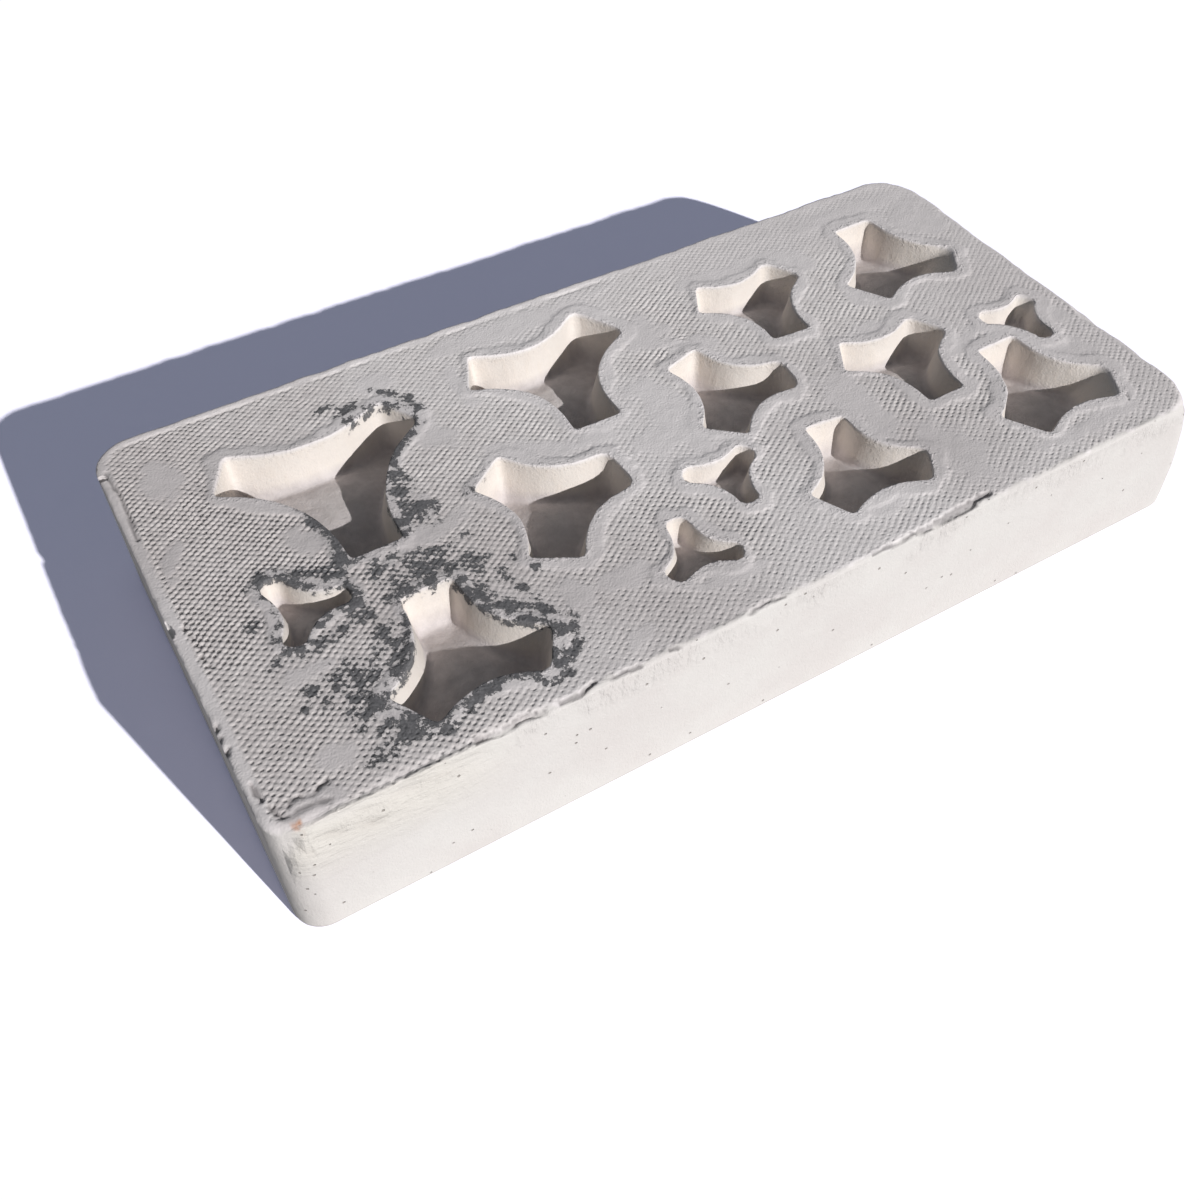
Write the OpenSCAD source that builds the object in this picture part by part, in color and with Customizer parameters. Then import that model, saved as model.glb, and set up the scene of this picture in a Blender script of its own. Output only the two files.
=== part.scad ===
// Plaster press mould: one cast block with three-armed cavities for pressing kiln stilts in clay.
// The origin is the centre of the bottom face, X runs along the length and Z points up.
// Places along and across the block are measured from the middle of its top.

/* [Block] */
// Length of the block along its top
block_l = 321.4; // [314:0.2:380]
// Width of the block across its top
block_w = 157; // [152:1:200]
// Height of the flat top above the bottom
block_h = 51; // [34:1:80]
// Corner radius at the right, far side
corner_far_right = 17; // [8:1:24]
// Corner radius at the left, far side
corner_far_left = 13; // [8:1:20]
// Corner radius at the right, near side
corner_near_right = 12; // [8:1:20]
// Corner radius at the left, near side
corner_near_left = 9; // [6:1:16]
// Rounding of the top edge
top_edge_r = 2.6; // [1:0.1:4]
// Rounding of the bottom edge
bottom_edge_r = 1.6; // [0.6:0.1:3]
// How far the sides lean outwards from the top down to the bottom
side_flare = 0.8; // [0:0.1:3]
// How far the right end swells out below the top
end_swell = 12; // [3:0.5:14]

/* [Cavities] */
// Draft of the cavity walls, in degrees
wall_draft = 9; // [3:0.5:14]
// Fillet between wall and floor
floor_fillet = 1.5; // [0.6:0.1:2]
// Rounding of the cavity rim
rim_r = 0.7; // [0.3:0.1:1.2]
// Width of the smooth lip around a cavity
lip_w = 4.6; // [2:0.1:6]
// Height of the smooth lip above the flat top
lip_h = 0.6; // [0.3:0.1:1]
// Width of the slope at the lip's outer edge
lip_slope = 1.2; // [0.5:0.1:1.8]

/* [Extra large stilt] */
// Reach of its arms
giant_reach = 34.5; // [32:0.5:36]
// Width of its arm tips
giant_tip = 17.5; // [12:0.5:20]
// Distance from its centre to the middle of a flank
giant_waist = 16.5; // [12:0.5:19]
// Depth at its arm ends
giant_depth = 18; // [12:0.5:22]

/* [Large stilt] */
// Reach of its arms
large_reach = 29; // [26:0.5:30]
// Width of its arm tips
large_tip = 18; // [12:0.5:20]
// Distance from its centre to the middle of a flank
large_waist = 14.5; // [11:0.5:17]
// Depth at its arm ends
large_depth = 18; // [12:0.5:22]

/* [Medium stilt] */
// Reach of its arms
medium_reach = 24.2; // [22:0.2:25]
// Width of its arm tips
medium_tip = 17.4; // [12:0.2:19]
// Distance from its centre to the middle of a flank
medium_waist = 13.7; // [10:0.1:15]
// Depth at its arm ends
medium_depth = 16; // [10:0.5:20]

/* [Small stilt] */
// Reach of its arms
small_reach = 21.6; // [20:0.2:22.4]
// Width of its arm tips
small_tip = 15.8; // [11:0.2:17]
// Distance from its centre to the middle of a flank
small_waist = 11.9; // [9:0.1:13]
// Depth at its arm ends
small_depth = 15; // [9:0.5:18]

/* [Mini stilt] */
// Reach of its arms
mini_reach = 14; // [12:0.2:15]
// Width of its round arm tips
mini_tip = 8.2; // [7:0.2:9]
// Distance from its centre to the middle of a flank
mini_waist = 6.6; // [6:0.1:8]
// Depth at its arm ends
mini_depth = 10.5; // [7:0.5:13]
// Corner radius of its round arm tips
mini_corner = 3.8; // [2:0.1:4.2]

/* [Shape of the arms] */
// Corner radius of the flat arm tips
tip_corner = 2.2; // [1:0.1:4]
// Share of the depth by which a floor rises at the centre
floor_rise = 0.27; // [0.1:0.01:0.35]

/* [Places of the cavities] */
// Place along the block of the extra large stilt at the left, far side
giant_x = -99.2; // [-102.2:0.1:-96.2]
// Place across the block of the extra large stilt at the left, far side
giant_y = 30.5; // [27.5:0.1:33.5]
// Place along the block of the large stilt at the far side
large_x = -15.9; // [-18.9:0.1:-12.9]
// Place across the block of the large stilt at the far side
large_y = 40; // [37:0.1:43]
// Place along the block of the medium stilt at the left, near side
medium_near_left_x = -94; // [-97:0.1:-91]
// Place across the block of the medium stilt at the left, near side
medium_near_left_y = -48.3; // [-51.3:0.1:-45.3]
// Place along the block of the medium stilt left of the middle
medium_middle_x = -45.1; // [-48.1:0.1:-42.1]
// Place across the block of the medium stilt left of the middle
medium_middle_y = -11.8; // [-14.8:0.1:-8.8]
// Place along the block of the medium stilt at the right, far side
medium_far_right_x = 122.6; // [119.6:0.1:125.6]
// Place across the block of the medium stilt at the right, far side
medium_far_right_y = 33.7; // [30.7:0.1:36.7]
// Place along the block of the medium stilt at the right, near side
medium_near_right_x = 121.2; // [118.2:0.1:124.2]
// Place across the block of the medium stilt at the right, near side
medium_near_right_y = -46.6; // [-49.6:0.1:-43.6]
// Place along the block of the small stilt at the far side
small_far_x = 64.7; // [61.7:0.1:67.7]
// Place across the block of the small stilt at the far side
small_far_y = 37.6; // [34.6:0.1:40.6]
// Place along the block of the small stilt in the middle
small_middle_x = 29.8; // [26.8:0.1:32.8]
// Place across the block of the small stilt in the middle
small_middle_y = 3.3; // [0.3:0.1:6.3]
// Place along the block of the small stilt right of the middle
small_right_x = 89.4; // [86.4:0.1:92.4]
// Place across the block of the small stilt right of the middle
small_right_y = -13; // [-16:0.1:-10]
// Place along the block of the small stilt at the near side
small_near_x = 44.1; // [41.1:0.1:47.1]
// Place across the block of the small stilt at the near side
small_near_y = -46.5; // [-49.5:0.1:-43.5]
// Place along the block of the mini stilt at the left
mini_left_x = -126; // [-129:0.1:-123]
// Place across the block of the mini stilt at the left
mini_left_y = -13.7; // [-16.7:0.1:-10.7]
// Place along the block of the mini stilt at the right
mini_right_x = 138.5; // [135.5:0.1:141.5]
// Place across the block of the mini stilt at the right
mini_right_y = -15.7; // [-18.7:0.1:-12.7]
// Place along the block of the mini stilt in the middle
mini_middle_x = 5.6; // [2.6:0.1:8.6]
// Place across the block of the mini stilt in the middle
mini_middle_y = -29.3; // [-32.3:0.1:-26.3]
// Place along the block of the mini stilt at the near side
mini_near_x = -20.2; // [-23.2:0.1:-17.2]
// Place across the block of the mini stilt at the near side
mini_near_y = -50.5; // [-53.5:0.1:-47.5]

/* [Wear] */
// Width of the worn band along the near top edge
worn_w = 3.2; // [1.5:0.1:4.5]
// Drop of the worn band down the near face
worn_drop = 2.4; // [1:0.1:4]
// Place along the right edge of the broken notch
notch_y = -27.5; // [-40:0.5:0]
// Half sizes of the broken notch
notch = [3.6, 7.5, 9]; // [1:0.1:10]
// Place along the near edge of the long chip
long_chip_x = 57; // [30:1:90]
// Half sizes of the long chip
long_chip = [13, 3, 2.6]; // [1:0.1:16]
// Half sizes of the chip at the near left corner
corner_chip = [6, 5, 4]; // [1:0.1:8]
// Half sizes of the small chips along the left and right edges
small_chip = [2, 3.6, 3.4]; // [1:0.1:6]
// Places along the left edge of its small chips
left_chips_y = [64, -3]; // [-60:1:70]
// Places along the right edge of its small chips
right_chips_y = [44, -61]; // [-66:1:60]

/* [Hidden] */
plaster = [0.86, 0.84, 0.81];
circle_steps = 40;
lip_steps = 20;
chip_steps = 9;
over = 1;
sheet = 0.01;
lip_top = block_h + lip_h;
near_y = -block_w / 2;
left_x = -block_l / 2;
right_x = block_l / 2;
corner_steps = 2;
flank_steps = 6;
worn_stations = 40;

// How far the sides stand out from the top's outline at a height, and how far the right end does.
function flare_at(z) = side_flare * (1 - z / block_h);
function swell_at(z) = end_swell * (1 - pow(z / block_h, 2));

// The middle of the bottom, measured from the middle of the top.
middle_x = (swell_at(bottom_edge_r) - flare_at(bottom_edge_r)) / 2;

// A corner of the block is [side along X, side along Y, radius].
corners = [
    [1, 1, corner_far_right],
    [-1, 1, corner_far_left],
    [-1, -1, corner_near_left],
    [1, -1, corner_near_right],
];

// A layer of the block is [height, how far its outline is pulled in]. A rounding has a point at 45 degrees.
mid_arc = 1 - cos(45);
layers = [
    [0, bottom_edge_r],
    [bottom_edge_r * mid_arc, bottom_edge_r * mid_arc],
    [bottom_edge_r, 0],
    [block_h / 4, 0],
    [block_h / 2, 0],
    [block_h * 3 / 4, 0],
    [block_h - top_edge_r, 0],
    [block_h - top_edge_r * mid_arc, top_edge_r * mid_arc],
    [block_h, top_edge_r],
];

// A stilt size is [reach, tip width, waist, depth, corner radius of its tips].
giant = [giant_reach, giant_tip, giant_waist, giant_depth, tip_corner];
large = [large_reach, large_tip, large_waist, large_depth, tip_corner];
medium = [medium_reach, medium_tip, medium_waist, medium_depth, tip_corner];
small = [small_reach, small_tip, small_waist, small_depth, tip_corner];
mini = [mini_reach, mini_tip, mini_waist, mini_depth, mini_corner];

// A cavity is [stilt size, place, directions of its three arms]. The patterns were pressed in by hand.
cavities = [
    [giant, [giant_x, giant_y], [30, 151, 270]],
    [large, [large_x, large_y], [31, 154, 269]],
    [medium, [medium_near_left_x, medium_near_left_y], [90, 210, 330]],
    [medium, [medium_middle_x, medium_middle_y], [3, 124, 242]],
    [medium, [medium_far_right_x, medium_far_right_y], [90, 210, 328]],
    [medium, [medium_near_right_x, medium_near_right_y], [91, 211, 333]],
    [small, [small_far_x, small_far_y], [30, 151, 268]],
    [small, [small_middle_x, small_middle_y], [-10, 108, 230]],
    [small, [small_right_x, small_right_y], [29, 150, 270]],
    [small, [small_near_x, small_near_y], [86, 206, 330]],
    [mini, [mini_left_x, mini_left_y], [-6, 114, 236]],
    [mini, [mini_right_x, mini_right_y], [34, 154, 277]],
    [mini, [mini_middle_x, mini_middle_y], [28, 153, 269]],
    [mini, [mini_near_x, mini_near_y], [86, 206, 327]],
];

// A chip is [place, half sizes]: where the edge has broken away.
chips = concat(
    [[[right_x + notch.x / 6, notch_y, block_h], notch]],
    [[[long_chip_x, near_y - long_chip.y / 8, block_h - long_chip.z / 5], long_chip]],
    [[[left_x + corner_chip.x / 2, near_y + corner_chip.y / 2, block_h], corner_chip]],
    [for (y = left_chips_y) [[left_x, y, block_h], small_chip]],
    [for (y = right_chips_y) [[right_x, y, block_h], small_chip]]
);

function along(angle) = [cos(angle), sin(angle)];
function across(angle) = [-sin(angle), cos(angle)];
function mix(p, q, t) = p + (q - p) * t;
function curve(p, bend, q, t) = mix(mix(p, bend, t), mix(bend, q, t), t);

// One corner of an arm's tip: side is 1 on the left of the arm, seen from the centre, and -1 on its right.
function tip_point(size, arm, side, inset) =
    (size[0] - inset) * along(arm) + side * (size[1] / 2 - inset) * across(arm);

// The concave flank from one arm's left corner to the next arm's right corner.
function flank_point(size, arm, next, inset, t) =
    let (a = tip_point(size, arm, 1, inset))
    let (b = tip_point(size, next, -1, inset))
    let (waist = (size[2] - inset) * along((arm + next) / 2))
    mix(a, b, t) + 4 * t * (1 - t) * (waist - (a + b) / 2);

// The least radius of an arm's tip, and the least flat that is left across it.
least_round = 0.4;
least_flat = 0.6;

// The closed outline of a stilt, moved inwards by inset, as points around its centre.
function outline(size, arms, inset) = [
    for (i = [0:2])
        let (arm = arms[i])
        let (next = arms[(i + 1) % 3] + (i == 2 ? 360 : 0))
        let (last = arms[(i + 2) % 3] - (i == 0 ? 360 : 0))
        let (round = max(least_round, min(size[4], (size[1] - least_flat) / 2 - inset)))
        let (share = round / norm(tip_point(size, arm, 1, inset) - tip_point(size, next, -1, inset)))
        let (right = tip_point(size, arm, -1, inset))
        let (left = tip_point(size, arm, 1, inset))
        let (right_in = flank_point(size, last, arm, inset, 1 - share))
        let (left_out = flank_point(size, arm, next, inset, share))
        each concat(
            [for (k = [0:corner_steps])
                curve(right_in, right, right + round * across(arm), k / corner_steps)],
            [for (k = [0:corner_steps])
                curve(left - round * across(arm), left, left_out, k / corner_steps)],
            [for (k = [1:flank_steps - 1])
                flank_point(size, arm, next, inset, mix(share, 1 - share, k / flank_steps))]
        )
];

// Depth of the floor at a distance from the centre: deepest under the arm ends, domed in the middle.
function floor_depth(size, distance) =
    size[3] * (1 - floor_rise * (1 + cos(180 * min(1, distance / size[0]))) / 2);

// One ring of the loft, its points lowered by a share of the floor's depth below them.
function wall_ring(size, arms, inset, share) =
    [for (p = outline(size, arms, inset)) [p.x, p.y, lip_top - share * floor_depth(size, norm(p))]];

function floor_ring(size, arms, inset, spread) =
    [for (p = outline(size, arms, inset) * spread) [p.x, p.y, lip_top - floor_depth(size, norm(p))]];

// A solid through stacked rings of equal count, from the top ring down to a last point.
module loft(rings, top, bottom) {
    count = len(rings[0]);
    points = concat([top], [for (ring = rings) each ring], [bottom]);
    low = 1 + (len(rings) - 1) * count;
    faces = concat(
        [for (i = [0:count - 1]) [0, 1 + (i + 1) % count, 1 + i]],
        [for (r = [0:len(rings) - 2], i = [0:count - 1])
            let (a = 1 + r * count + i)
            let (b = 1 + r * count + (i + 1) % count)
            each [[a, b, b + count], [a, b + count, a + count]]],
        [for (i = [0:count - 1]) [low + i, low + (i + 1) % count, len(points) - 1]]
    );
    polyhedron(points, faces);
}

// Where a wall ends, as a share of the depth, and the spreads of the rings across the floor.
wall_share = 0.9;
floor_spreads = [0.6, 0.25];

module cavity(size, arms) {
    wall_foot = tan(wall_draft) * size[3];
    rings = [
        [for (p = outline(size, arms, -rim_r - over)) [p.x, p.y, lip_top + over]],
        [for (p = outline(size, arms, 0)) [p.x, p.y, lip_top - rim_r]],
        wall_ring(size, arms, wall_foot, wall_share),
        wall_ring(size, arms, wall_foot + floor_fillet, 1),
        for (spread = floor_spreads) floor_ring(size, arms, wall_foot + floor_fillet, spread),
    ];
    loft(rings, [0, 0, lip_top + over], [0, 0, lip_top - floor_depth(size, 0)]);
}

// The bare block: sides that lean out, a right end that swells, and rounded top and bottom edges.
module block() {
    hull()
        for (l = layers, c = corners)
            translate([
                c.x * (block_l / 2 - c.z) + (c.x > 0 ? swell_at(l[0]) : -flare_at(l[0])),
                c.y * (block_w / 2 - c.z + flare_at(l[0])),
                max(0, l[0] - sheet),
            ])
                cylinder(h = sheet, r = c.z - l[1], $fn = circle_steps);
}

module lip_layer(width, height) {
    translate([0, 0, block_h - over])
        linear_extrude(over + height)
            offset(r = width, $fn = lip_steps)
                for (c = cavities)
                    translate(c[1]) polygon(outline(c[0], c[2], 0));
}

// The smooth raised lips left by the pressed patterns. Where two cavities are close their lips join.
module lips() {
    lip_layer(lip_w, lip_h / 2);
    lip_layer(lip_w - lip_slope, lip_h);
}

// The worn band varies along the near edge in a long wave and a ripple: [share, degrees per mm, start].
wear_mean = 0.72;
wear_waves = [[0.18, 4.1, 0], [0.1, 11.3, 40]];
wear_lag = 25;
function wave(x, w) = w[0] * sin(x * w[1] + w[2]);
function wear(x) = wear_mean + wave(x, wear_waves[0]) + wave(x, wear_waves[1]);

// The ragged bevel along the near top edge.
module worn_edge() {
    step = (block_l + 2 * over) / worn_stations;
    sections = [
        for (i = [0:worn_stations])
            let (x = left_x - over + i * step)
            let (w = worn_w * wear(x))
            let (d = worn_drop * wear(x + wear_lag))
            [
                [x, near_y + 2 * w, block_h + d],
                [x, near_y - w, block_h - 2 * d],
                [x, near_y - 2 * w - worn_w, block_h + 2 * d],
            ]
    ];
    points = [for (s = sections) each s];
    last = 3 * worn_stations;
    faces = concat(
        [[0, 2, 1], [last, last + 1, last + 2]],
        [for (i = [0:worn_stations - 1], k = [0:2])
            let (a = 3 * i + k)
            let (b = 3 * i + (k + 1) % 3)
            each [[a, b, b + 3], [a, b + 3, a + 3]]]
    );
    polyhedron(points, faces);
}

module mould_block() {
    color(plaster)
        translate([-middle_x, 0, 0]) difference() {
            union() {
                block();
                lips();
            }
            for (c = cavities)
                translate(c[1]) cavity(c[0], c[2]);
            worn_edge();
            for (c = chips)
                translate(c[0]) scale(c[1]) sphere(1, $fn = chip_steps);
        }
}

mould_block();
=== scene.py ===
import math
from collections import namedtuple

import bmesh
import bpy
import numpy as np
from mathutils import Matrix, Vector


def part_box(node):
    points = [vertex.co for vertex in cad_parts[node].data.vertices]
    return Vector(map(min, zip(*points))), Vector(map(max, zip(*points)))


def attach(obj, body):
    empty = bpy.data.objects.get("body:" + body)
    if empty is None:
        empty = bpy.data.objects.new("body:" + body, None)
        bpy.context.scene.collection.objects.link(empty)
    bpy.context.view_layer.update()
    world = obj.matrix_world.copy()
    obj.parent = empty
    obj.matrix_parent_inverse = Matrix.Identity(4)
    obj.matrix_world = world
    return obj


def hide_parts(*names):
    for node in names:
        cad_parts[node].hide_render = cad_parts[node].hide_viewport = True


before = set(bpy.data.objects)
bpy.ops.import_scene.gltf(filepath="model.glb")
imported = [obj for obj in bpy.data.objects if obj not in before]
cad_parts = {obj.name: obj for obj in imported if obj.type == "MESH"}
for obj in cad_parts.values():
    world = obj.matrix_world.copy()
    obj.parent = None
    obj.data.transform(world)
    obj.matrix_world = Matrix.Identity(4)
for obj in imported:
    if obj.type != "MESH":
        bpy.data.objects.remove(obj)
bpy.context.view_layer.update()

# Shapes are worked out in millimetres, and MM turns them into metres where they are placed.
MM = 0.001
box_low, box_high = (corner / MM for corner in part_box("mould_block"))
LIP_TOP = box_high.z
LIP_HEIGHT = 0.6
TOP = LIP_TOP - LIP_HEIGHT

# The top's outline. Places along the mould are counted from a point 160 mm in from its left edge.
LEFT, RIGHT = -160.0, 161.4
MIDDLE = (LEFT + RIGHT) / 2
HALF_LENGTH = (RIGHT - LEFT) / 2
HALF_WIDTH = 78.5

# Radius of each upright corner, by its side along X and along Y.
CORNERS = {(1, 1): 17.0, (-1, 1): 13.0, (-1, -1): 9.0, (1, -1): 12.0}
BOTTOM_ROUND = 1.6
# How far the sides lean out down to the bottom, and how far the right end swells out.
SIDE_FLARE = 0.8
END_SWELL = 12.0
# From the point that places are counted from to the middle of the bottom, where the origin is.
TO_ORIGIN = box_low.x - (LEFT - SIDE_FLARE * (1 - BOTTOM_ROUND / TOP))

# A cavity size is its reach, tip width, waist, depth and the corner radius of its arm tips.
CavitySize = namedtuple("CavitySize", "reach tip waist depth corner")
CAVITY_SIZES = {
    "giant": CavitySize(34.5, 17.5, 16.5, 18.0, 2.2),
    "large": CavitySize(29.0, 18.0, 14.5, 18.0, 2.2),
    "medium": CavitySize(24.2, 17.4, 13.7, 16.0, 2.2),
    "small": CavitySize(21.6, 15.8, 11.9, 15.0, 2.2),
    "mini": CavitySize(14.0, 8.2, 6.6, 10.5, 3.8),
}

# A cavity is its name, size, place and the directions of its arms.
Cavity = namedtuple("Cavity", "name size place arms")
CAVITIES = [
    Cavity("giant", "giant", (-98.5, 30.5), (30, 151, 270)),
    Cavity("large", "large", (-15.2, 40.0), (31, 154, 269)),
    Cavity("medium_near_left", "medium", (-93.3, -48.3), (90, 210, 330)),
    Cavity("medium_middle", "medium", (-44.4, -11.8), (3, 124, 242)),
    Cavity("medium_far_right", "medium", (123.3, 33.7), (90, 210, 328)),
    Cavity("medium_near_right", "medium", (121.9, -46.6), (91, 211, 333)),
    Cavity("small_far", "small", (65.4, 37.6), (30, 151, 268)),
    Cavity("small_middle", "small", (30.5, 3.3), (-10, 108, 230)),
    Cavity("small_right", "small", (90.1, -13.0), (29, 150, 270)),
    Cavity("small_near", "small", (44.8, -46.5), (86, 206, 330)),
    Cavity("mini_left", "mini", (-125.3, -13.7), (-6, 114, 236)),
    Cavity("mini_right", "mini", (139.2, -15.7), (34, 154, 277)),
    Cavity("mini_middle", "mini", (6.3, -29.3), (28, 153, 269)),
    Cavity("mini_near", "mini", (-19.5, -50.5), (86, 206, 327)),
]

# Arms that were pressed in longer or wider than their cavity size: more reach and more width.
ODD_ARMS = {("large", 0): (1.2, 4.0), ("mini_left", 1): (1.5, 0.0)}

# A cavity's walls lean by the draft, and meet the lip in the rim's break and the floor in its fillet.
WALL_DRAFT = math.radians(9)
FLOOR_FILLET = 1.5
RIM_BREAK = 0.55
# How much higher the floor lies in the middle, as a share of the depth.
FLOOR_RISE = 0.27
# How far the solids that cut the cavities stand out above the lips.
OVER = 1.2
# The tips of arms that point to the right are rounder, by up to this much.
SOFT_TIP = 2.2
CORNER_STEPS = 3
FLANK_STEPS = 9
# Rings down a cavity's wall: how far in, as a share of the draft, and how deep, as a share of the depth.
WALL_RINGS = [(0.06, 0.045), (0.14, 0.13), (0.3, 0.3), (0.5, 0.5), (0.72, 0.7), (1.0, 0.9), (1.18, 0.965)]
# Rings across its floor, as shares of the outline that the floor starts from.
FLOOR_RINGS = (1, 0.9, 0.75, 0.6, 0.42, 0.22)
# The first rings, which give the rim its ragged border.
RAGGED_RINGS = 3

# Arms whose floor rises towards a soft, shallow tip, and by what share of the depth.
SHALLOW_ARMS = {("medium_far_right", 2): 0.6, ("medium_near_right", 2): 0.55, ("mini_right", 0): 0.65}
# How far towards the tip the floor starts to rise, and how much narrower the tip gets.
SHALLOW_START = 0.35
SHALLOW_NARROWING = 0.45

# The block is made taller than the lips, and its sides are divided at these heights and this far apart.
BLOCK_OVER = 4.0
SIDE_LEVELS = [6, 12, 18, 24, 30, 35, 39, 42.5, 45, 47, 48.5, 50]
SIDE_STEP = 5
CORNER_SEGMENTS = 10
BOTTOM_SEGMENTS = 3
# How far in from the ends and sides a point still moves outwards with them.
SIDE_REACH = 20.0
# From the middle, where the right end starts to swell, over what length, and where the sides lean in full.
SWELL_START = 40.0
SWELL_LENGTH = 95.0
LEAN_IN_FULL = 60.0

# The canvas that the plaster was poured on: the pitch of its threads along and across the block.
THREAD_PITCH = (3.1, 2.1)
# The height of its print's beads, and how far below TOP they lie.
BUMP_HEIGHT = 0.15
PRINT_SINK = 0.3
# The top's grid has this many cells to each side of the middle, each half a pitch long and wide.
HALF_CELLS = (106, 76)
# Its cells are divided again where the print is deeper than this, and this near to a rim, an edge and
# a lip's border, but not this far inside a cavity or outside the block.
FINE_PRINT = 0.27
FINE_RIM = 1.4
FINE_EDGE = 3.0
FINE_BORDER = 0.7
COARSE_INSIDE = -2.0
COARSE_OUTSIDE = -2.5
# The slab under the top: how far its border is drawn down, where its bottom lies, and how much wider.
SLAB_DROP = 80.0
SLAB_BOTTOM = -30.0
SLAB_SPREAD = 1.25

# How deep the canvas is printed at some places: place along, place across, depth.
PRINT_DEPTHS = [
    (-147, 6, 1.8), (-140, 26, 1.85), (-140, -50, 0.85), (-68, 15, 1.0), (-36, 25, 0.85), (-15, -2, 0.27),
    (-32, -32, 0.8), (32, 36, 0.95), (92, 24, 1.0), (120, 9, 0.33), (96, -39, 0.75), (-45, -70, 0.35),
    (-115, -74, 0.8), (40, -73, 0.4), (92, -69, 0.42), (147, 9, 0.33), (-50, 65, 0.65), (75, 66, 0.18),
    (120, 70, 0.15), (45, -20, 0.55), (0, 66, 0.35), (-120, 66, 1.0), (150, -60, 0.3), (60, 20, 0.75),
]

# How pale the top is at some places: place along, place across, share from dull to pale.
PALENESS = [
    (-147, 6, 0.12), (-140, 26, 0.05), (-140, -50, 0.15), (-68, 15, 0.5), (-36, 25, 0.85),
    (-32, -32, 0.65), (32, 36, 0.7), (92, 24, 0.85), (120, 9, 0.7), (96, -39, 0.45), (40, -73, 1.2),
    (92, -69, 0.9), (147, 9, 0.45), (-50, 65, 0.9), (75, 66, 0.85), (45, -20, 0.6), (62, -26, 0.3),
    (74, -57, 0.05), (148, 48, 0.65), (118, -17, 0.6), (6, 4, 1.05), (3, -8, 1.0), (-17, 68, 1.0),
    (98, 3, 0.7), (-43, -52, 0.0), (-18, -63, 0.35), (-86, -6, 0.05), (-147, 50, 0.05), (10, -76, 1.1),
    (-60, -75, 0.7), (-112, -75, 0.4), (130, -72, 0.7), (150, -60, 0.5), (-110, 70, 0.5), (30, 72, 1.0),
    (120, 72, 0.7),
]

# Cracks along the edges of the top: their line, half width and depth.
CRACKS = [
    ([(-104, -76.0), (-98, -76.9), (-91, -76.3), (-84, -77.1)], 0.55, 1.0),
    ([(-80, -76.4), (-75, -77.2), (-69, -76.5)], 0.5, 0.9),
    ([(-64, -77.3), (-60, -76.5), (-55, -77.4)], 0.45, 0.7), ([(-46, -76.8), (-43, -77.3)], 0.4, 0.6),
    ([(-151.5, -70.6), (-150.6, -69.2), (-147.6, -69.8)], 0.4, 0.5),
    ([(-145.6, -70.4), (-143.6, -68.6), (-141, -68.2)], 0.45, 0.65),
    ([(-145.4, -72.4), (-142.5, -73.6)], 0.4, 0.5),
    ([(-152, -73.2), (-148, -72.6), (-144, -73.4)], 0.4, 0.5),
    ([(24, -76.9), (32, -77.6), (40, -76.9)], 0.45, 0.6),
    ([(48, -77.3), (56, -76.9), (63, -76.4)], 1.2, 1.4),
    ([(41, -77.4), (55, -76.3), (70, -75.7)], 0.6, 1.0),
    ([(-20, -77.4), (-13, -76.7), (-8, -77.3)], 0.4, 0.5), ([(141, -63.5), (139.5, -66.5)], 0.4, 0.4),
    ([(-157, 66), (-156.6, 50), (-157, 34)], 0.5, 0.7), ([(-155.6, -3.4), (-155.4, -4.6)], 0.5, 1.2),
    ([(-155.2, -8.4), (-155, -9)], 0.4, 1.0), ([(-154.8, -12), (-154.7, -12.5)], 0.4, 0.9),
    ([(-154.9, -16), (-154.7, -16.7)], 0.45, 1.0), ([(-155.6, 3), (-155.5, 3.5)], 0.35, 0.7),
    ([(-154.3, -20), (-154.2, -20.5)], 0.4, 0.8), ([(-158.9, -39), (-159.1, -40.5)], 0.5, 1.2),
    ([(-158.8, -47), (-159.2, -48.8)], 0.5, 1.3), ([(-159.2, -43), (-159.4, -44)], 0.4, 0.9),
    ([(-157.4, -60), (-157.6, -63.5), (-157, -66)], 0.6, 1.2),
    ([(-155.4, -68), (-154.6, -71), (-153.6, -73)], 0.5, 0.8),
]

# Scars across the left end of the near face, as lines of places along and heights.
SCARS = [
    [(-141.5, 37.5), (-136, 39.5), (-130, 40)], [(-142, 36), (-144, 32)],
    [(-154, 45), (-151.5, 39), (-148.5, 36)], [(-147, 46.5), (-144.5, 41)], [(-136, 45), (-131, 46.5)],
    [(-128, 43.5), (-121, 45.5), (-116, 45)], [(-150, 28), (-147.5, 24)], [(-112, 41), (-108, 43)],
]

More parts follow.
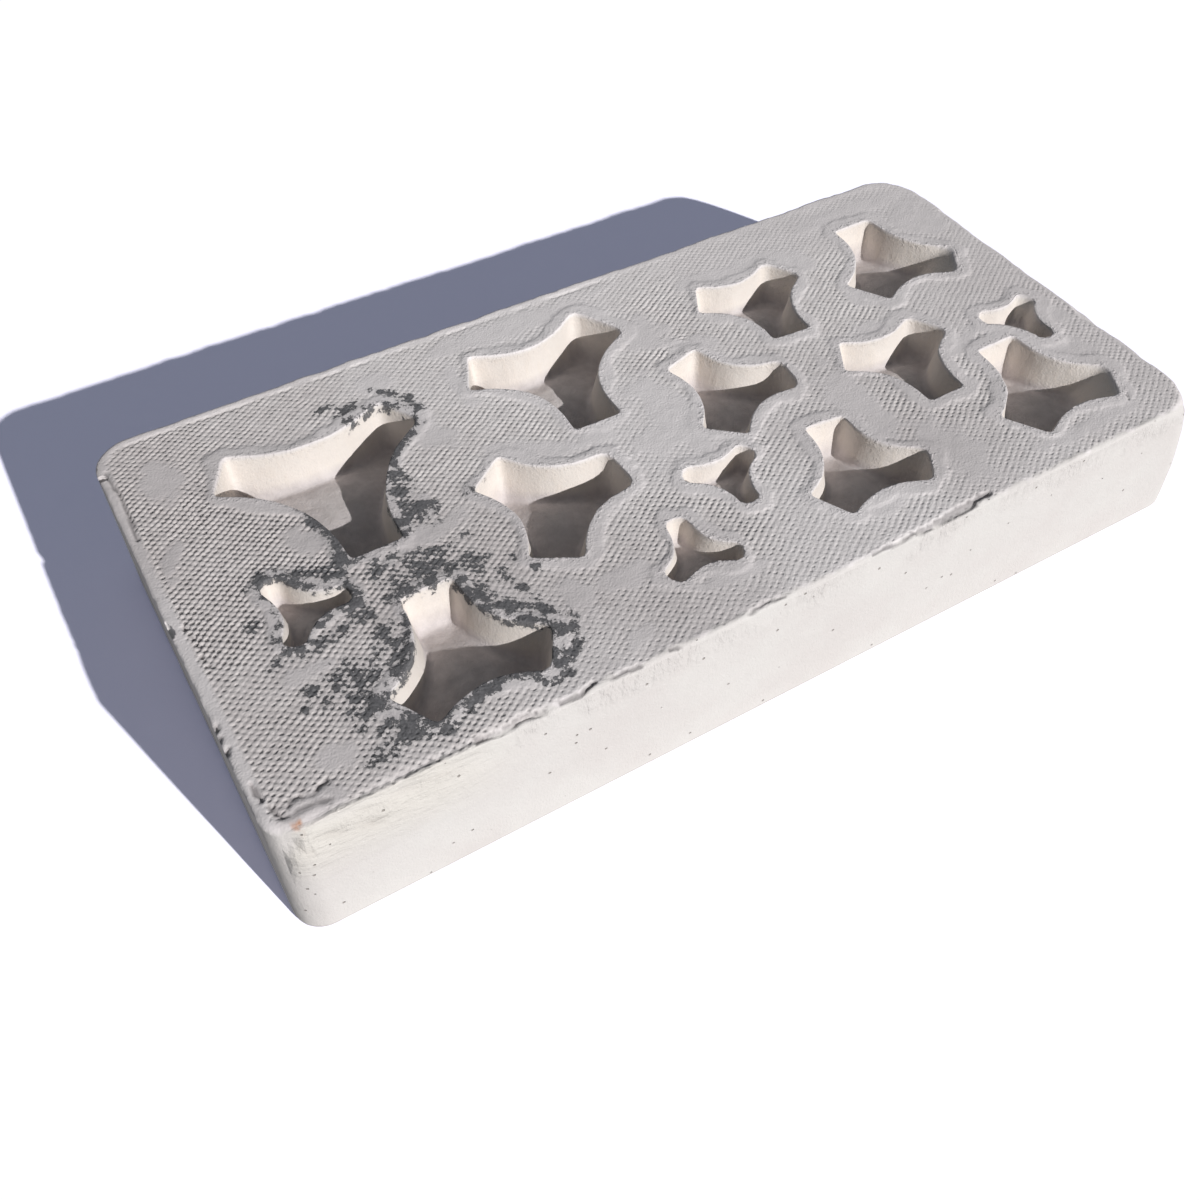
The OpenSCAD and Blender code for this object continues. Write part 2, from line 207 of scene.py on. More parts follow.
# Smooth places in the canvas print: centre, half sizes and turn in degrees.
SMOOTH_PATCHES = [
    (-151, 21, 3, 7, -22), (-145, 53, 6, 9, -10), (-115, 9, 5, 8, 15), (-86, -6, 14, 3.5, 8),
    (-136, -63, 5, 4, 0), (-79, 4, 3, 7, 0), (-134, -35, 7, 3, 10), (-66, 38, 7, 12, 10),
    (-71, 64, 8, 4, -20), (-17, 68, 30, 5, 0), (-46, 52, 3, 11, 0), (-40, 10, 14, 4, -28),
    (6, 4, 7, 19, 0), (-58, -48, 5, 6, 0), (-43, -49, 9, 5, 0), (-18, -63, 13, 2.5, -4),
    (-50, -70, 5, 2.5, 20), (2, -5, 12, 6, 10), (20, 40, 8, 9, 0), (34, 27, 10, 5, -30),
    (66, 57, 20, 3.5, 0), (89, 50, 6, 8, 20), (62, -26, 7, 22, 0), (74, -57, 11, 15, 10),
    (96, 4, 14, 4, 0), (148, 48, 9, 12, 0), (128, 66, 24, 4, 0), (113, -17, 10, 3, 20),
    (141, -36, 11, 6, -15), (118, -69, 22, 3, 0), (19, -13, 8, 3, 20), (-20, 5, 6, 3, -10),
    (-147, -73.5, 8, 4, 5), (90, 77, 20, 3, 0), (150, -20, 5, 6, 0), (40, -64, 9, 3, 0),
    (98, 20, 4, 6, 30),
]

# Wrinkles in the smooth places: centre, inner radius, middle direction, half angle, number of folds.
WRINKLES = [
    (-21, -13, 6.5, 50, 30, 3), (17, -28, 6.5, 45, 22, 3), (27, 20, 10.5, 95, 45, 3),
    (-88, -20, 9, 60, 25, 2), (104, -20, 8, 120, 25, 2), (46, -22, 9, 80, 30, 1),
    (132, -38, 10, 20, 25, 2),
]

# From one fold to the next, and how high a fold is.
FOLD_PITCH = 1.6
FOLD_HEIGHT = 0.17

# Where an edge has broken away: centre and half sizes.
CHIPS = [
    ((163.4, -28.5, 52.4), (5.8, 11.0, 3.2)),
    ((59.0, -79.6, 48.6), (11.0, 1.6, 1.6)),
    ((-158.6, -77.4, 52.2), (3.6, 3.2, 2.4)),
    ((-152.0, -79.4, 48.5), (3.4, 1.4, 1.8)),
    ((-143.5, -79.6, 47.0), (4.0, 1.3, 1.5)),
    ((-160.0, 64.0, 51.0), (2.6, 1.6, 2.6)),
    ((-160.0, -3.0, 51.2), (1.6, 3.2, 3.0)),
    ((163.4, 44.0, 52.2), (4.8, 8.0, 2.4)),
    ((163.4, -53.0, 52.2), (4.6, 7.0, 2.5)),
]

# Where dark clay stuck right along the rims: centre and half sizes.
CLAY_RIMS = [
    (-121, 0, 15, 6), (-112, -15, 8, 8), (-124, -26, 10, 4), (-137, -17, 3, 8), (-109, -40, 5, 13),
    (-110, -62, 8, 8), (-84, -64, 14, 5), (-74, -50, 6, 10), (-84, -32, 6, 10), (-98, -20, 12, 6),
    (-75, 30, 8, 26), (-94, 2, 8, 6),
]

# Dark clay that stuck to the top: centre, half sizes and turn in degrees.
CLAY_DABS = [
    (-110, -31, 2.6, 4.5, 0), (-109.5, -39, 3.4, 5, 0), (-110, -46, 3.5, 4, 10), (-121, -45, 4, 5.5, 15),
    (-121, -54, 5.5, 6, 0), (-126, -41, 2.5, 3.5, 0), (-125, -50, 3, 3, 0), (-132, -46, 2.2, 2, 0),
    (-134.5, -41.5, 2, 1.6, 0), (-138, -46, 1, 0.8, 0), (-117, -65, 4.5, 3, -20), (-111, -68, 4, 2, -20),
    (-126.5, -68.5, 3, 2.2, 0), (-122, -61, 2, 2, 0), (-139.2, -28.5, 1.8, 1.6, 0),
    (-139.5, -13, 1.8, 2, 0), (-113, -18, 3, 5, 20), (-111.5, -25, 2.5, 3, 0), (-121, -26.5, 6, 1.6, 10),
    (-130, -29, 3, 1.4, 0), (-122, -1, 8, 1.6, -20), (-133, 1.5, 3, 2, 30), (-113, -8, 4, 2, -30),
    (-109, -4, 3, 3, 30), (-101.5, -12, 3, 1.6, 0), (-101, -24, 3.5, 1.5, -10), (-84, 5, 5, 6, 20),
    (-83, 17, 3, 6, -10), (-82, 26, 2, 4, -30), (-72, 40, 1.6, 4, -40), (-64, 49, 2.2, 5, 20),
    (-69, 58, 4, 1.2, -45), (-82, 57, 4, 2, 20), (-90, 60, 3, 1, 10), (-110, 14, 1.6, 6, 10),
    (-108, 5, 1.6, 5, 0), (-99, -7, 3, 2, 0), (-90, -18, 9, 3, -5), (-79, -21, 5, 2.5, -20),
    (-95, -22.5, 9, 1, 0), (-82, -28, 4, 3, 0), (-80, -37, 2.6, 6, 25), (-74, -44, 2.2, 5, 50),
    (-67, -58, 3, 6, -20), (-73, -65, 5, 2, 20), (-89, -63, 8, 1.4, 0), (-98, -66, 6, 1.6, 10),
    (-68, -48, 2, 3, 30), (-74, -12, 1.2, 1.2, 0), (-67, -26, 1.5, 1.2, 0), (-63, -33, 1.2, 1.6, 0),
    (-72, -30, 1.5, 3, 0), (-70, -38, 1.5, 4, 20), (-86, -12, 5, 2, 0), (-96, -13, 4, 2, 0),
    (-76, -70, 3, 1.5, 0),
]

# A small rust spot on the top's near left corner: its place and radius.
RUST_SPOT = (-151.9, -75.9, 1.6)

# Corners of the top that are worn rounder: place, radius that is worn in full, and how much rounder.
# Their wear starts at the reach.
WORN_CORNERS = [(160, -78, 4, 2.5), (-157, -78, 5, 1.5)]
WORN_CORNER_REACH = 16

# How far an edge's own wear reaches in, and how far the values given at places reach.
EDGE_REACH = 4.0
PLACE_REACH = 13.0

# The ridge along the near edge: its place and height, and how far in the groove beside it lies.
NEAR_RIDGE = -77.4
NEAR_RIDGE_HEIGHT = 0.16
NEAR_GROOVE_IN = 1.2

# The pale strip along the far edge, up to a place along it: its width, its height and its crack's depth.
FAR_STRIP_END = 40
FAR_STRIP_WIDTH = 3.4
FAR_STRIP_HEIGHT = 0.2
FAR_CRACK_DEPTH = 0.28

# How far round a cavity its rim is measured, and the distance that stands for all that is farther.
RIM_REACH = 20.0
FAR_AWAY = 99.0

# How many random values there are on each side of a table of noise.
NOISE_TABLE = 256

# The plaster's colours. Where there are two, they run together in patches.
# Painted shade and light: the sides are coloured darker than the top's smooth skin, which stands in for how
# the lamp lights them.
SIDE_COLOURS_WITH_PAINTED_SHADE = (0.735, 0.70, 0.672), (0.705, 0.66, 0.635)
DULL_PRINT = (0.67, 0.61, 0.595), (0.79, 0.725, 0.705)
PALE_PRINT = (0.90, 0.84, 0.82), (0.985, 0.93, 0.91)
DULL_SKIN = (0.76, 0.70, 0.69), (0.70, 0.645, 0.635)
PALE_SKIN = (0.94, 0.88, 0.87), (0.90, 0.845, 0.835)
CREAM_WALLS = (0.81, 0.745, 0.69), (0.77, 0.70, 0.645)
# Painted shade: darker colours for the deeper part of each cavity's floor.
SHADE_PAINTED_FLOORS = (0.60, 0.55, 0.555), (0.46, 0.42, 0.43)
DARK_CLAY = (0.085, 0.085, 0.09), (0.16, 0.158, 0.165)
CLAY_SMEAR = (0.38, 0.375, 0.385)
WARM_STREAKS = (0.79, 0.705, 0.62)
# Dirt and painted shade in the print's pits.
PIT_DIRT_AND_SHADE = (0.27, 0.25, 0.245)
SCARRED_FACE = (0.72, 0.675, 0.61)
SCAR_LINES = (0.5, 0.44, 0.39)
RUST = (0.55, 0.27, 0.15)
# Painted shade inside the pinholes.
PINHOLE_SHADE = (0.34, 0.30, 0.27)
# Painted shade inside the cracks.
CRACK_SHADE = (0.24, 0.22, 0.22)

# The studio: the lamp's direction, strength and width in degrees, the room's light and the floor.
TO_LAMP = (0.265, -0.964, math.tan(math.radians(26.3)))
LAMP_STRENGTH = 3.4
LAMP_WIDTH = 0.7
ROOM_LIGHT = (0.78, 0.88, 1.0, 1)
ROOM_STRENGTH = 0.11
WHITE = (1, 1, 1, 1)
FLOOR_SIZE = 12
FLOOR_BOUNCE = (0.5, 0.5, 0.5, 1)
FLOOR_SEEN = (0.89, 0.87, 0.98, 1)
SHADOW_TINT = (0.5, 0.45, 1.0, 1)
SHADOW_TINT_STRENGTH = 0.05

# The camera's place and directions in metres, and its lens and sensor in millimetres.
CAMERA_PLACE = (-0.1703, -0.2329, 0.3053)
CAMERA_RIGHT = (0.859, -0.51184, 0.01153)
CAMERA_UP = (0.38735, 0.66447, 0.6391)
CAMERA_FORWARD = (0.33478, 0.54452, -0.76904)
LENS = 35.65
SENSOR = 36


def soft_noise(x, y, cell, seed):
    """Smooth random values from -1 to 1 over the plane, with one random value at each corner of a cell."""
    values = np.random.default_rng(seed).uniform(-1, 1, (NOISE_TABLE, NOISE_TABLE))
    u, v = np.asarray(x, float) / cell + NOISE_TABLE, np.asarray(y, float) / cell + NOISE_TABLE
    i, j = np.floor(u).astype(int), np.floor(v).astype(int)
    s, t = u - i, v - j
    s, t = s * s * (3 - 2 * s), t * t * (3 - 2 * t)
    i, j, i_next, j_next = (corner % NOISE_TABLE for corner in (i, j, i + 1, j + 1))
    near = values[i, j] * (1 - s) + values[i_next, j] * s
    far = values[i, j_next] * (1 - s) + values[i_next, j_next] * s
    return near * (1 - t) + far * t


def ramp(value, start, end):
    """A smooth step from 0 at start to 1 at end."""
    t = np.clip((value - start) / (end - start), 0, 1)
    return t * t * (3 - 2 * t)


def along(angle):
    """The unit step in the direction of an angle in degrees."""
    return np.array([math.cos(math.radians(angle)), math.sin(math.radians(angle))])


def across(angle):
    """The unit step to the left of that direction."""
    return np.array([-math.sin(math.radians(angle)), math.cos(math.radians(angle))])


def bend(start, middle, end, t):
    """A point on the curve that leaves start towards middle and comes from middle to end."""
    first, second = start + (middle - start) * t, middle + (end - middle) * t
    return first + (second - first) * t


def cavity_outline(cavity, inset):
    """The closed outline of a cavity around its own centre, moved inwards by inset."""
    size, arms = CAVITY_SIZES[cavity.size], cavity.arms

    def tip_point(i, side):
        more_reach, more_width = ODD_ARMS.get((cavity.name, i % 3), (0, 0))
        half = (size.tip + more_width) / 2 - inset
        return (size.reach + more_reach - inset) * along(arms[i % 3]) + side * half * across(arms[i % 3])

    def flank_point(i, t):
        turn = 360 if i % 3 == 2 else 0
        start, end = tip_point(i, 1), tip_point(i + 1, -1)
        middle = (size.waist - inset) * along((arms[i % 3] + arms[(i + 1) % 3] + turn) / 2)
        return start + (end - start) * t + 4 * t * (1 - t) * (middle - (start + end) / 2)

    points = []
    for i in range(3):
        roundness = size.corner + SOFT_TIP * max(along(arms[i])[0], 0)
        round_off = max(0.4, min(roundness, size.tip / 2 - inset - 0.3))
        share = round_off / np.linalg.norm(tip_point(i, 1) - tip_point(i + 1, -1))
        right, left, side = tip_point(i, -1), tip_point(i, 1), across(arms[i])
        right_in, left_out = flank_point(i + 2, 1 - share), flank_point(i, share)
        for k in range(CORNER_STEPS + 1):
            points.append(bend(right_in, right, right + round_off * side, k / CORNER_STEPS))
        for k in range(CORNER_STEPS + 1):
            points.append(bend(left - round_off * side, left, left_out, k / CORNER_STEPS))
        for k in range(1, FLANK_STEPS):
            points.append(flank_point(i, share + (1 - 2 * share) * k / FLANK_STEPS))
    return np.array(points)


def floor_depth(size, distance):
    """How deep a cavity's floor lies at a distance from its centre: deepest under the arm ends."""
    return size.depth * (1 - FLOOR_RISE * (1 + np.cos(np.pi * np.minimum(1, distance / size.reach))) / 2)


def segment_distance(x, y, start, end):
    """Distance to the straight line from start to end."""
    (ax, ay), (dx, dy) = start, np.subtract(end, start)
    t = np.clip(((x - ax) * dx + (y - ay) * dy) / (dx * dx + dy * dy + 1e-9), 0, 1)
    return np.hypot(x - ax - t * dx, y - ay - t * dy)


def rim_distance(x, y):
    """Distance to the nearest cavity's outline, below 0 inside a cavity, and which cavity that is."""
    nearest, which = np.full(x.shape, FAR_AWAY), np.zeros(x.shape, int)
    for number, cavity in enumerate(CAVITIES):
        place, reach = np.array(cavity.place), CAVITY_SIZES[cavity.size].reach
        close = np.flatnonzero(np.hypot(x - place[0], y - place[1]) < reach + RIM_REACH)
        px, py = x[close], y[close]
        corners = cavity_outline(cavity, 0) + place
        best, inside = np.full(px.shape, FAR_AWAY), np.zeros(px.shape, bool)
        for (ax, ay), (bx, by) in zip(corners, np.roll(corners, -1, axis=0)):
            best = np.minimum(best, segment_distance(px, py, (ax, ay), (bx, by)))
            if ay != by:
                inside ^= ((ay > py) != (by > py)) & (px < ax + (py - ay) / (by - ay) * (bx - ax))
        signed = np.where(inside, -best, best)
        nearer = signed < nearest[close]
        nearest[close[nearer]] = signed[nearer]
        which[close[nearer]] = number
    return nearest, which


def edge_distance(x, y):
    """Distance inwards from the outline of the top, below 0 outside it."""
    x = x - MIDDLE
    radius = np.select([(x > 0) & (y > 0), (x <= 0) & (y > 0), (x <= 0) & (y <= 0)],
                       [CORNERS[1, 1], CORNERS[-1, 1], CORNERS[-1, -1]], CORNERS[1, -1])
    over_x, over_y = np.abs(x) - (HALF_LENGTH - radius), np.abs(y) - (HALF_WIDTH - radius)
    corner = np.hypot(np.maximum(over_x, 0), np.maximum(over_y, 0))
    return radius - corner - np.minimum(np.maximum(over_x, over_y), 0)


def side_shares(x, y):
    """How much a place belongs to the near, far, left and right edge. The four shares add up to 1."""
    gaps = np.array([y + HALF_WIDTH, HALF_WIDTH - y, x - LEFT, RIGHT - x])
    shares = np.exp(-np.maximum(gaps, -EDGE_REACH) / EDGE_REACH)
    return shares / shares.sum(axis=0)


def oval(x, y, cx, cy, half_x, half_y, turn=0):
    """Distance from the centre of a turned oval, where its border is at 1."""
    c, s = math.cos(math.radians(turn)), math.sin(math.radians(turn))
    u, v = (x - cx) * c + (y - cy) * s, (y - cy) * c - (x - cx) * s
    return np.hypot(u / half_x, v / half_y)


def patch_share(x, y):
    """1 within the smooth places of the canvas print, falling to 0 over their soft, ragged borders."""
    share = np.zeros(x.shape)
    ragged = 0.42 * soft_noise(x, y, 6, 21) + 0.28 * soft_noise(x, y, 2.2, 22)
    for shape in SMOOTH_PATCHES:
        share = np.maximum(share, ramp(oval(x, y, *shape) + ragged, 1.35, 0.75))
    return share


def lip_border(x, y, rim):
    """How far a place is beyond the ragged outer border of the smooth lip round a cavity."""
    width = 3.3 + 2.2 * soft_noise(x, y, 15, 31) + 1.0 * soft_noise(x, y, 5, 32)
    return rim - width + 0.6 * soft_noise(x, y, 1.9, 33)


def worn_edge(x, y):
    """Radius of the worn top edge at a place."""
    near, far, left, right = side_shares(x, y)
    ragged = 0.8 * soft_noise(x, y, 9, 41) + 0.45 * soft_noise(x, y, 2.8, 42)
    radius = near * (np.interp(x, [-90, -60], [4.2, 2.2]) + 1.3 * ragged) + far * (1.3 + 0.9 * ragged)
    radius += left * (0.5 + 0.25 * ragged) + right * (2.4 + 0.9 * ragged)
    for corner_x, corner_y, worn, rounder in WORN_CORNERS:
        radius += rounder * ramp(np.hypot(x - corner_x, y - corner_y), WORN_CORNER_REACH, worn)
    return radius


def smooth_margin(x, y):
    """How far in from the sides the canvas print stops."""
    near, far, left, right = side_shares(x, y)
    ragged = 0.9 * soft_noise(x, y, 7, 43) + 0.6 * soft_noise(x, y, 2, 44)
    return (near * (1.6 + 0.8 * ragged) + far * (3.4 + 0.5 * ragged) + left * (3.9 + 0.5 * ragged)
            + right * (3.0 + ragged))


def between_places(x, y, places):
    """A value that blends softly between the values given at some places."""
    tiny = 1e-9
    total, weights = np.full(x.shape, tiny / 2), np.full(x.shape, tiny)
    for cx, cy, value in places:
        weight = np.exp(-((x - cx) ** 2 + (y - cy) ** 2) / (2 * PLACE_REACH ** 2))
        total += weight * value
        weights += weight
    return total / weights


def print_strength(x, y):
    """How deep the canvas is printed."""
    return between_places(x, y, PRINT_DEPTHS) * np.clip(1 + 0.3 * soft_noise(x, y, 17, 51), 0.5, 1.35)


def canvas_share(x, y, rim, edge):
    """1 where the canvas print shows in full, 0 where the plaster is smooth."""
    smooth = np.maximum(patch_share(x, y), ramp(lip_border(x, y, rim), 1.6, -0.8))
    margin = smooth_margin(x, y)
    smooth = np.maximum(smooth, ramp(edge, margin + 0.7, margin - 0.7))
    return 1 - smooth


def canvas_shift(u, v):
    """How far the canvas was pulled out of true at a thread crossing."""
    shift_u = 0.9 * soft_noise(u, v, 55, 11) + 0.25 * soft_noise(u, v, 7, 12)
    shift_v = 0.9 * soft_noise(u, v, 48, 13) + 0.2 * soft_noise(u, v, 6, 14)
    return shift_u + 0.22 * soft_noise(u, v, 3, 15), shift_v + 0.18 * soft_noise(u, v, 3, 16)


def thread_phases(u, v):
    """The two slanting thread directions, as angles that turn once from one bead to the next."""
    along_threads, across_threads = 2 * np.pi * u / THREAD_PITCH[0], 2 * np.pi * v / THREAD_PITCH[1]
    return along_threads + across_threads, along_threads - across_threads


def canvas_wave(u, v):
    """The print's beads and hollows, from -1 to 1. Towards the right they run into slanting ridges."""
    falling, rising = thread_phases(u, v)
    lean = np.interp(u, [-150, -50, 70], [0.15, 0.36, 0.55])
    return 0.5 * ((1 - lean) * np.cos(falling) + (1 + lean) * np.cos(rising))


def wrinkle_height(x, y):
    """Folds that were pushed up beside the cavities, as arcs."""
    height = np.zeros(x.shape)
    for cx, cy, radius, direction, half_angle, folds in WRINKLES:
        away, angle = np.hypot(x - cx, y - cy), np.degrees(np.arctan2(y - cy, x - cx))
        turned = np.abs((angle - direction + 180) % 360 - 180)
        out = away - radius
        within = ramp(turned, half_angle, 0.6 * half_angle) * ramp(out, -0.4, 0.5)
        within = within * ramp(out, FOLD_PITCH * folds + 0.4, FOLD_PITCH * folds - 0.5)
        height += FOLD_HEIGHT * within * np.sin(2 * np.pi * out / FOLD_PITCH + 0.8 * soft_noise(x, y, 4, 59))
    return height


def line_distance(x, y, points):
    """Distance to a line through the points."""
    best = np.full(x.shape, FAR_AWAY)
    for start, end in zip(points[:-1], points[1:]):
        best = np.minimum(best, segment_distance(x, y, start, end))
    return best


def crack_depth(x, y):
    """How deep a place lies in one of the cracks."""
    x_bent = x + 0.5 * soft_noise(x, y, 4, 65)
    y_bent = y + 0.4 * soft_noise(x, y, 5, 66) + 0.25 * soft_noise(x, y, 1.6, 67)
    depth = np.zeros(x.shape)
    for points, half_width, deep in CRACKS:
        away = line_distance(x_bent, y_bent, points)
        depth = np.maximum(depth, deep * ramp(away, 1.7 * half_width, 0.3 * half_width))
    return depth


def scar_share(x, z):
    """1 in the scars across the near face's left end, seen from the front."""
    share = np.zeros(x.shape)
    x_bent, z_bent = x + 0.8 * soft_noise(x, z, 5, 71), z + 0.8 * soft_noise(x, z, 3, 72)
    for points in SCARS:
        share = np.maximum(share, ramp(line_distance(x_bent, z_bent, points), 1.1, 0.2))
    return share


def near_edge_height(x, y):
    """The low ridge that the mould's frame left along the near edge, dark on its inner side."""
    line = NEAR_RIDGE + 0.5 * soft_noise(x, y, 12, 45) + 0.3 * soft_noise(x, y, 2.5, 46)
    present = ramp(soft_noise(x, 0 * y, 17, 47), -0.8, 0.1)
    present = present * np.interp(x, [-135, -115, -50, -30, 70, 85], [0.2, 1, 1, 0.5, 0.5, 0.2])
    ridge, groove = np.exp(-((y - line) / 0.6) ** 2), np.exp(-((y - line - NEAR_GROOVE_IN) / 0.5) ** 2)
    return NEAR_RIDGE_HEIGHT * present * (ridge - 0.5 * groove)


def far_edge_height(x, y, edge):
    """The pale strip along the far edge, with a broken crack on its inner side."""
    far = side_shares(x, y)[1] * ramp(x, FAR_STRIP_END, FAR_STRIP_END - 25)
    dashes = ramp(soft_noise(x, 0 * y, 5, 49), -0.5, 0)
    crack = FAR_CRACK_DEPTH * dashes * ramp(np.abs(edge - FAR_STRIP_WIDTH - 0.2), 0.7, 0.2)
    return far * (FAR_STRIP_HEIGHT * ramp(edge, FAR_STRIP_WIDTH, 1.2) - crack)


def top_height(x, y, u, v, rim, edge):
    """Height of the top at places x, y, where the canvas threads run through u, v."""
    canvas = canvas_share(x, y, rim, edge)
    uneven = np.clip(1 + 0.75 * soft_noise(u, v, 2.6, 52), 0.1, 1.9)
    z = TOP - PRINT_SINK + canvas * print_strength(x, y) * BUMP_HEIGHT * uneven * canvas_wave(u, v)
    z += (1 - canvas) * (0.07 + 0.025 * soft_noise(x, y, 3, 54))
    border = lip_border(x, y, rim)
    z += (0.24 + 0.14 * soft_noise(x, y, 9, 55)) * ramp(border, 0.9, -0.9) * ramp(edge, 1.5, 5)
    seam = ramp(soft_noise(x, y, 9, 53), 0, 0.4) * np.exp(-((border - 0.2) / 0.5) ** 2)
    z += 0.11 * seam
    z += 0.12 * soft_noise(x, y, 45, 56) + 0.07 * soft_noise(x, y, 11, 57) + 0.02 * soft_noise(x, y, 4, 58)
    crumbs = ramp(soft_noise(x, y, 1.1, 60), 0.45, 0.75) * ramp(soft_noise(x, y, 13, 64), 0.1, 0.5)
    z += 0.25 * crumbs * ramp(rim, 1.6, 0.4)
    z += wrinkle_height(x, y) + near_edge_height(x, y) + far_edge_height(x, y, edge) - crack_depth(x, y)
    radius = worn_edge(x, y)
    t = np.clip(1 - edge / radius, 0, 1)
    drop = radius * (1 - np.sqrt(1 - t * t)) + np.maximum(-edge, 0)
    return np.minimum(z, LIP_TOP - 0.02) - drop


def deselect_objects():
    """Deselects every object."""
    bpy.ops.object.select_all(action="DESELECT")


def edit_mode(on):
    """Goes into edit mode with the active piece, or leaves it."""
    bpy.ops.object.mode_set(mode="EDIT" if on else "OBJECT")


def pick(piece, kind, test):
    """Selects, in edit mode, the piece's verts, edges or faces that pass the test, and nothing else."""
    bpy.ops.mesh.select_all(action="DESELECT")
    bpy.ops.mesh.select_mode(type={"verts": "VERT", "edges": "EDGE", "faces": "FACE"}[kind])
    mesh = bmesh.from_edit_mesh(piece.data)
    for part in getattr(mesh, kind):
        part.select_set(bool(test(part)))
    mesh.select_flush_mode()
    bmesh.update_edit_mesh(piece.data)


def read_places(parts, key):
    """The places of a mesh's vertices or faces as rows of x, y and z, in metres."""
    places = np.empty(len(parts) * 3)
    parts.foreach_get(key, places)
    return places.reshape(-1, 3)


def vertex_places(piece):
    """The piece's vertices as rows of x, y and z, in millimetres."""
    return read_places(piece.data.vertices, "co") / MM


def move_vertices(piece, places):
    """Moves the piece's vertices to rows of x, y and z, in millimetres."""
    piece.data.vertices.foreach_set("co", (places * MM).ravel())
    piece.data.update()


def outwards(piece):
    """Turns every face of the piece outwards."""
    bpy.context.view_layer.objects.active = piece
    edit_mode(True)
    bpy.ops.mesh.select_all(action="SELECT")
    bpy.ops.mesh.normals_make_consistent(inside=False)
    edit_mode(False)


def bare_block():
    """The block without its top, with round corners and with sides divided so that they can wave."""
    height = LIP_TOP + BLOCK_OVER
    deselect_objects()
    bpy.ops.mesh.primitive_cube_add(size=1, location=(MIDDLE * MM, 0, height / 2 * MM))
    block = bpy.context.object
    block.scale = (2 * HALF_LENGTH * MM, 2 * HALF_WIDTH * MM, height * MM)
    bpy.ops.object.transform_apply(location=True, rotation=True, scale=True)
    edit_mode(True)
    for (side_x, side_y), radius in CORNERS.items():
        def upright_corner(edge):
            a, b = (vert.co / MM for vert in edge.verts)
            at_end = (a.x - MIDDLE) * side_x > HALF_LENGTH - 1
            return abs(a.z - b.z) > 1 and at_end and a.y * side_y > HALF_WIDTH - 1
        pick(block, "edges", upright_corner)
        bpy.ops.mesh.bevel(offset=radius * MM, segments=CORNER_SEGMENTS, affect="EDGES")
    pick(block, "edges", lambda edge: all(vert.co.z < MM for vert in edge.verts))
    bpy.ops.mesh.bevel(offset=BOTTOM_ROUND * MM, segments=BOTTOM_SEGMENTS, affect="EDGES")
    cuts = [((0, 0, z), (0, 0, 1)) for z in SIDE_LEVELS]
    cuts += [((x, 0, 0), (1, 0, 0)) for x in np.arange(-150, 151, SIDE_STEP)]
    cuts += [((0, y, 0), (0, 1, 0)) for y in np.arange(-70, 71, SIDE_STEP)]
    for place, normal in cuts:
        bpy.ops.mesh.select_all(action="SELECT")
        bpy.ops.mesh.bisect(plane_co=Vector(place) * MM, plane_no=normal)
    edit_mode(False)
    move_sides(block)
    return block


def side_waves(x, y, z):
    """How far the block's sides lie in from their plain shape: slight waves, and more below the near edge."""
    wave = 0.3 + 0.22 * soft_noise(x + 1.7 * y, z, 16, 61) + 0.1 * soft_noise(x + 1.7 * y, z, 6, 62)
    near_top = ramp(z, 33, 46) * ramp(y, -70, -77)
    wave += near_top * (0.2 + 0.2 * soft_noise(x, 3 * z, 15, 63))
    scarred = 0.5 + 0.5 * soft_noise(x, 1.5 * z, 6, 68) + 0.3 * soft_noise(x, 2 * z, 3, 75)
    wave += near_top * ramp(x, -85, -115) * scarred
    wave *= 1 - 0.7 * ramp(x, -155, -158)
    side = (edge_distance(x, y) < 2.5) & (z > BOTTOM_ROUND * 0.9)
    return np.where(side, wave, 0)


def move_sides(block):
    """Leans the block's sides out, swells its right end and gives the sides their waves."""
    places = vertex_places(block)
    x, y, z = places.T
    along_x = x - MIDDLE
    reach = np.stack([np.sign(along_x) * np.maximum(np.abs(along_x) - HALF_LENGTH + SIDE_REACH, 0),
                      np.sign(y) * np.maximum(np.abs(y) - HALF_WIDTH + SIDE_REACH, 0)])
    outward = reach / np.maximum(np.hypot(*reach), 1e-6)
    wave = side_waves(x, y, z)
    lean = SIDE_FLARE * np.maximum(1 - z / TOP, 0)
    swell = END_SWELL * np.maximum(1 - (z / TOP) ** 2, 0)
    swell = swell * np.clip((along_x - SWELL_START) / SWELL_LENGTH, 0, 1)
    shift_x = np.where(along_x > 0, swell, -0.5 * lean * np.clip(-along_x / SWELL_LENGTH, 0, 1))
    places[:, 0] += shift_x - outward[0] * wave
    places[:, 1] += lean * np.clip(y / LEAN_IN_FULL, -1, 1) - outward[1] * wave
    move_vertices(block, places)


def printed_places(u, v):
    """Where the canvas places u, v were printed, and how far from a rim and from the edge that is."""
    shift = canvas_shift(u, v)
    x, y = u + shift[0], v + shift[1]
    return x, y, rim_distance(x, y)[0], edge_distance(x, y)


def divide_finely(top):
    """Divides the grid's cells again where the print is deep, and along rims, lips and edges."""
    u, v, _ = read_places(top.data.polygons, "center").T / MM
    x, y, rim, edge = printed_places(u, v)
    relief = canvas_share(x, y, rim, edge) * print_strength(x, y)
    fine = (relief > FINE_PRINT) | (rim < FINE_RIM) | (edge < FINE_EDGE)
    fine |= np.abs(lip_border(x, y, rim)) < FINE_BORDER
    fine &= (rim > COARSE_INSIDE) & (edge > COARSE_OUTSIDE)
    edit_mode(True)
    bpy.ops.mesh.select_mode(type="FACE")
    bpy.ops.mesh.select_all(action="DESELECT")
    edit_mode(False)
    top.data.polygons.foreach_set("select", fine)
    edit_mode(True)
    bpy.ops.mesh.subdivide(number_cuts=1)
    edit_mode(False)


